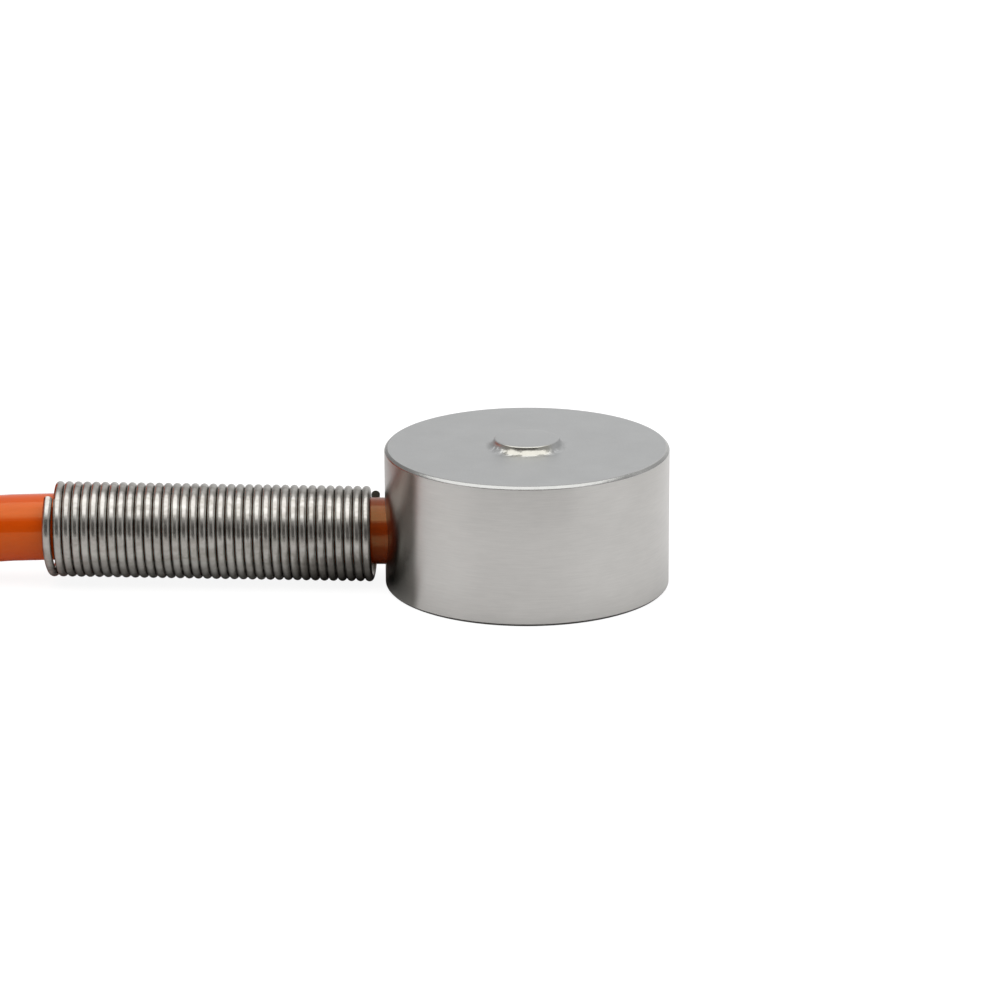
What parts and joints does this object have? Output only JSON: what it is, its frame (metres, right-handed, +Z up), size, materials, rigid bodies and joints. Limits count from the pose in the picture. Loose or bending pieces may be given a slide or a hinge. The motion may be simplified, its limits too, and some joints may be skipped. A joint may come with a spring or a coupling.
{
  "type": "strain gauge load cell",
  "caption": "Miniature button load cell: a low steel puck with a raised load button, a strain gauge bridge inside, and a cable with a spring strain relief.",
  "frame": {"origin": "centre of the base face, on the load axis", "axes": "+Z up along the load axis to the button, cable towards -X, +Y away from the viewer of the picture"},
  "size_m": [0.0828, 0.0504, 0.0159],
  "materials": {
    "body_stainless": "satin",
    "cover_stainless": "satin",
    "spring_steel": "polished",
    "cable_jacket": "gloss",
    "wire_red": "gloss",
    "wire_black": "gloss",
    "wire_green": "gloss",
    "wire_white": "gloss",
    "tinned_copper": "satin",
    "gauge_film": "gloss",
    "ribbon_copper": "satin",
    "board_laminate": "satin",
    "resistor_ceramic": "matt",
    "solder": "bright",
    "ferrule_brass": "satin",
    "seal_resin": "gloss",
    "tie_plastic": "satin"
  },
  "bodies": {
    "root": {"sensing_body": "body_stainless", "bottom_cover": "cover_stainless", "strain_gauge_1": "gauge_film", "strain_gauge_2": "gauge_film", "strain_gauge_3": "gauge_film", "strain_gauge_4": "gauge_film", "gauge_ribbons": "ribbon_copper", "terminal_board": "board_laminate", "zero_resistor": "resistor_ceramic", "span_resistor": "resistor_ceramic", "solder_joints": "solder", "core_red": "wire_red", "core_black": "wire_black", "core_green": "wire_green", "core_white": "wire_white", "cable_ferrule": "ferrule_brass", "core_seal": "seal_resin", "strain_relief_spring": "spring_steel", "cable_run": "cable_jacket", "cable_coil": "cable_jacket", "lead_red": "wire_red", "lead_black": "wire_black", "lead_green": "wire_green", "lead_white": "wire_white", "tinned_tips": "tinned_copper", "coil_tie": "tie_plastic"}
  },
  "joints": []
}
